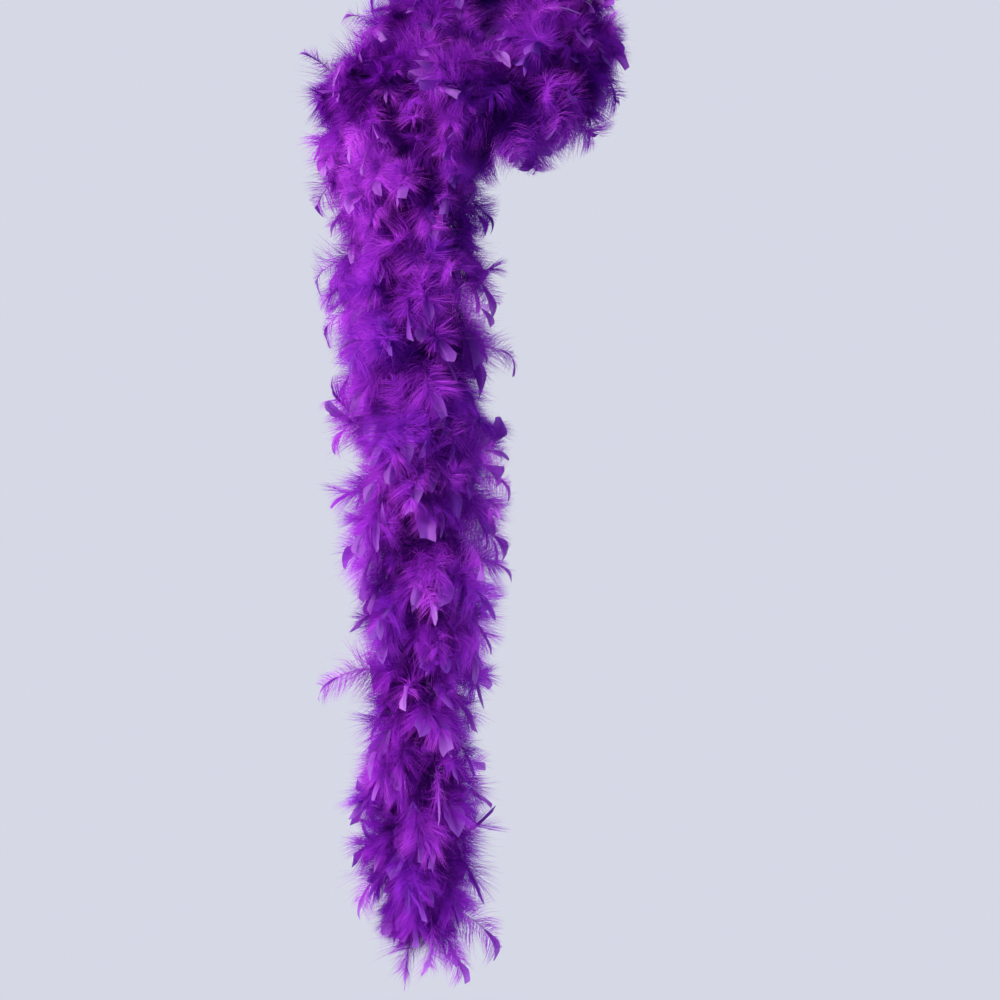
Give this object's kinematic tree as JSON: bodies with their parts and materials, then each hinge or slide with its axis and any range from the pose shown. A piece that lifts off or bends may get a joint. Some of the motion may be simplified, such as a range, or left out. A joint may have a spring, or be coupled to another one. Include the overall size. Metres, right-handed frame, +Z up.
{
  "type": "feather boa",
  "caption": "Soft feather boa draped round a neck, its plumes tied along a cord, with a long tail hanging in front and a short tail behind.",
  "frame": {"origin": "the point where the boa's nape stretch rests on the back of the neck", "axes": "+X to the wearer's left, +Y to the wearer's back, +Z up"},
  "size_m": [0.3819, 0.4496, 1.186],
  "materials": {
    "cord": "matte",
    "thread": "matte",
    "down": "matte",
    "plume": "satin"
  },
  "bodies": {
    "neck_wrap": {"cord_neck": "cord", "down_back_drop": "down", "down_chest_crossing": "down", "down_collarbone": "down", "down_front_rise": "down", "down_left_shoulder": "down", "down_nape": "down", "down_neck_left": "down", "down_neck_right": "down", "plumes_back_drop": "plume", "plumes_chest_crossing": "plume", "plumes_collarbone": "plume", "plumes_front_rise": "plume", "plumes_left_shoulder": "plume", "plumes_nape": "plume", "plumes_neck_left": "plume", "plumes_neck_right": "plume", "thread_neck": "thread"},
    "front_1": {"cord_front_1": "cord", "down_front_1": "down", "plumes_front_1": "plume", "thread_front_1": "thread"},
    "front_2": {"cord_front_2": "cord", "down_front_2": "down", "plumes_front_2": "plume", "thread_front_2": "thread"},
    "front_3": {"cord_front_3": "cord", "down_front_3": "down", "plumes_front_3": "plume", "thread_front_3": "thread"},
    "front_4": {"cord_front_4": "cord", "down_front_4": "down", "plumes_front_4": "plume", "thread_front_4": "thread"},
    "front_5": {"cord_front_5": "cord", "down_front_5": "down", "knot_front_5": "cord", "plumes_front_5": "plume", "plumes_front_5_end": "plume", "thread_front_5": "thread", "whipping_front_5": "thread"},
    "rear": {"cord_rear": "cord", "down_rear": "down", "knot_rear": "cord", "plumes_rear": "plume", "plumes_rear_end": "plume", "thread_rear": "thread", "whipping_rear": "thread"}
  },
  "joints": [
    {"name": "front_swing_1", "type": "hinge", "parent": "neck_wrap", "child": "front_1", "pos_m": [-0.087, -0.198, -0.25], "axis": [-1, 0, 0], "range_deg": [-8, 45]},
    {"name": "front_sway_2", "type": "hinge", "parent": "front_1", "child": "front_2", "pos_m": [-0.087, -0.198, -0.406], "axis": [0, 1, 0], "range_deg": [-30, 30]},
    {"name": "front_swing_3", "type": "hinge", "parent": "front_2", "child": "front_3", "pos_m": [-0.087, -0.198, -0.562], "axis": [-1, 0, 0], "range_deg": [-30, 30]},
    {"name": "front_sway_4", "type": "hinge", "parent": "front_3", "child": "front_4", "pos_m": [-0.087, -0.198, -0.718], "axis": [0, 1, 0], "range_deg": [-30, 30]},
    {"name": "front_swing_5", "type": "hinge", "parent": "front_4", "child": "front_5", "pos_m": [-0.087, -0.198, -0.874], "axis": [-1, 0, 0], "range_deg": [-35, 35]},
    {"name": "rear_swing", "type": "hinge", "parent": "neck_wrap", "child": "rear", "pos_m": [-0.13, 0.074, -0.24], "axis": [1, 0, 0], "range_deg": [-8, 25]}
  ]
}
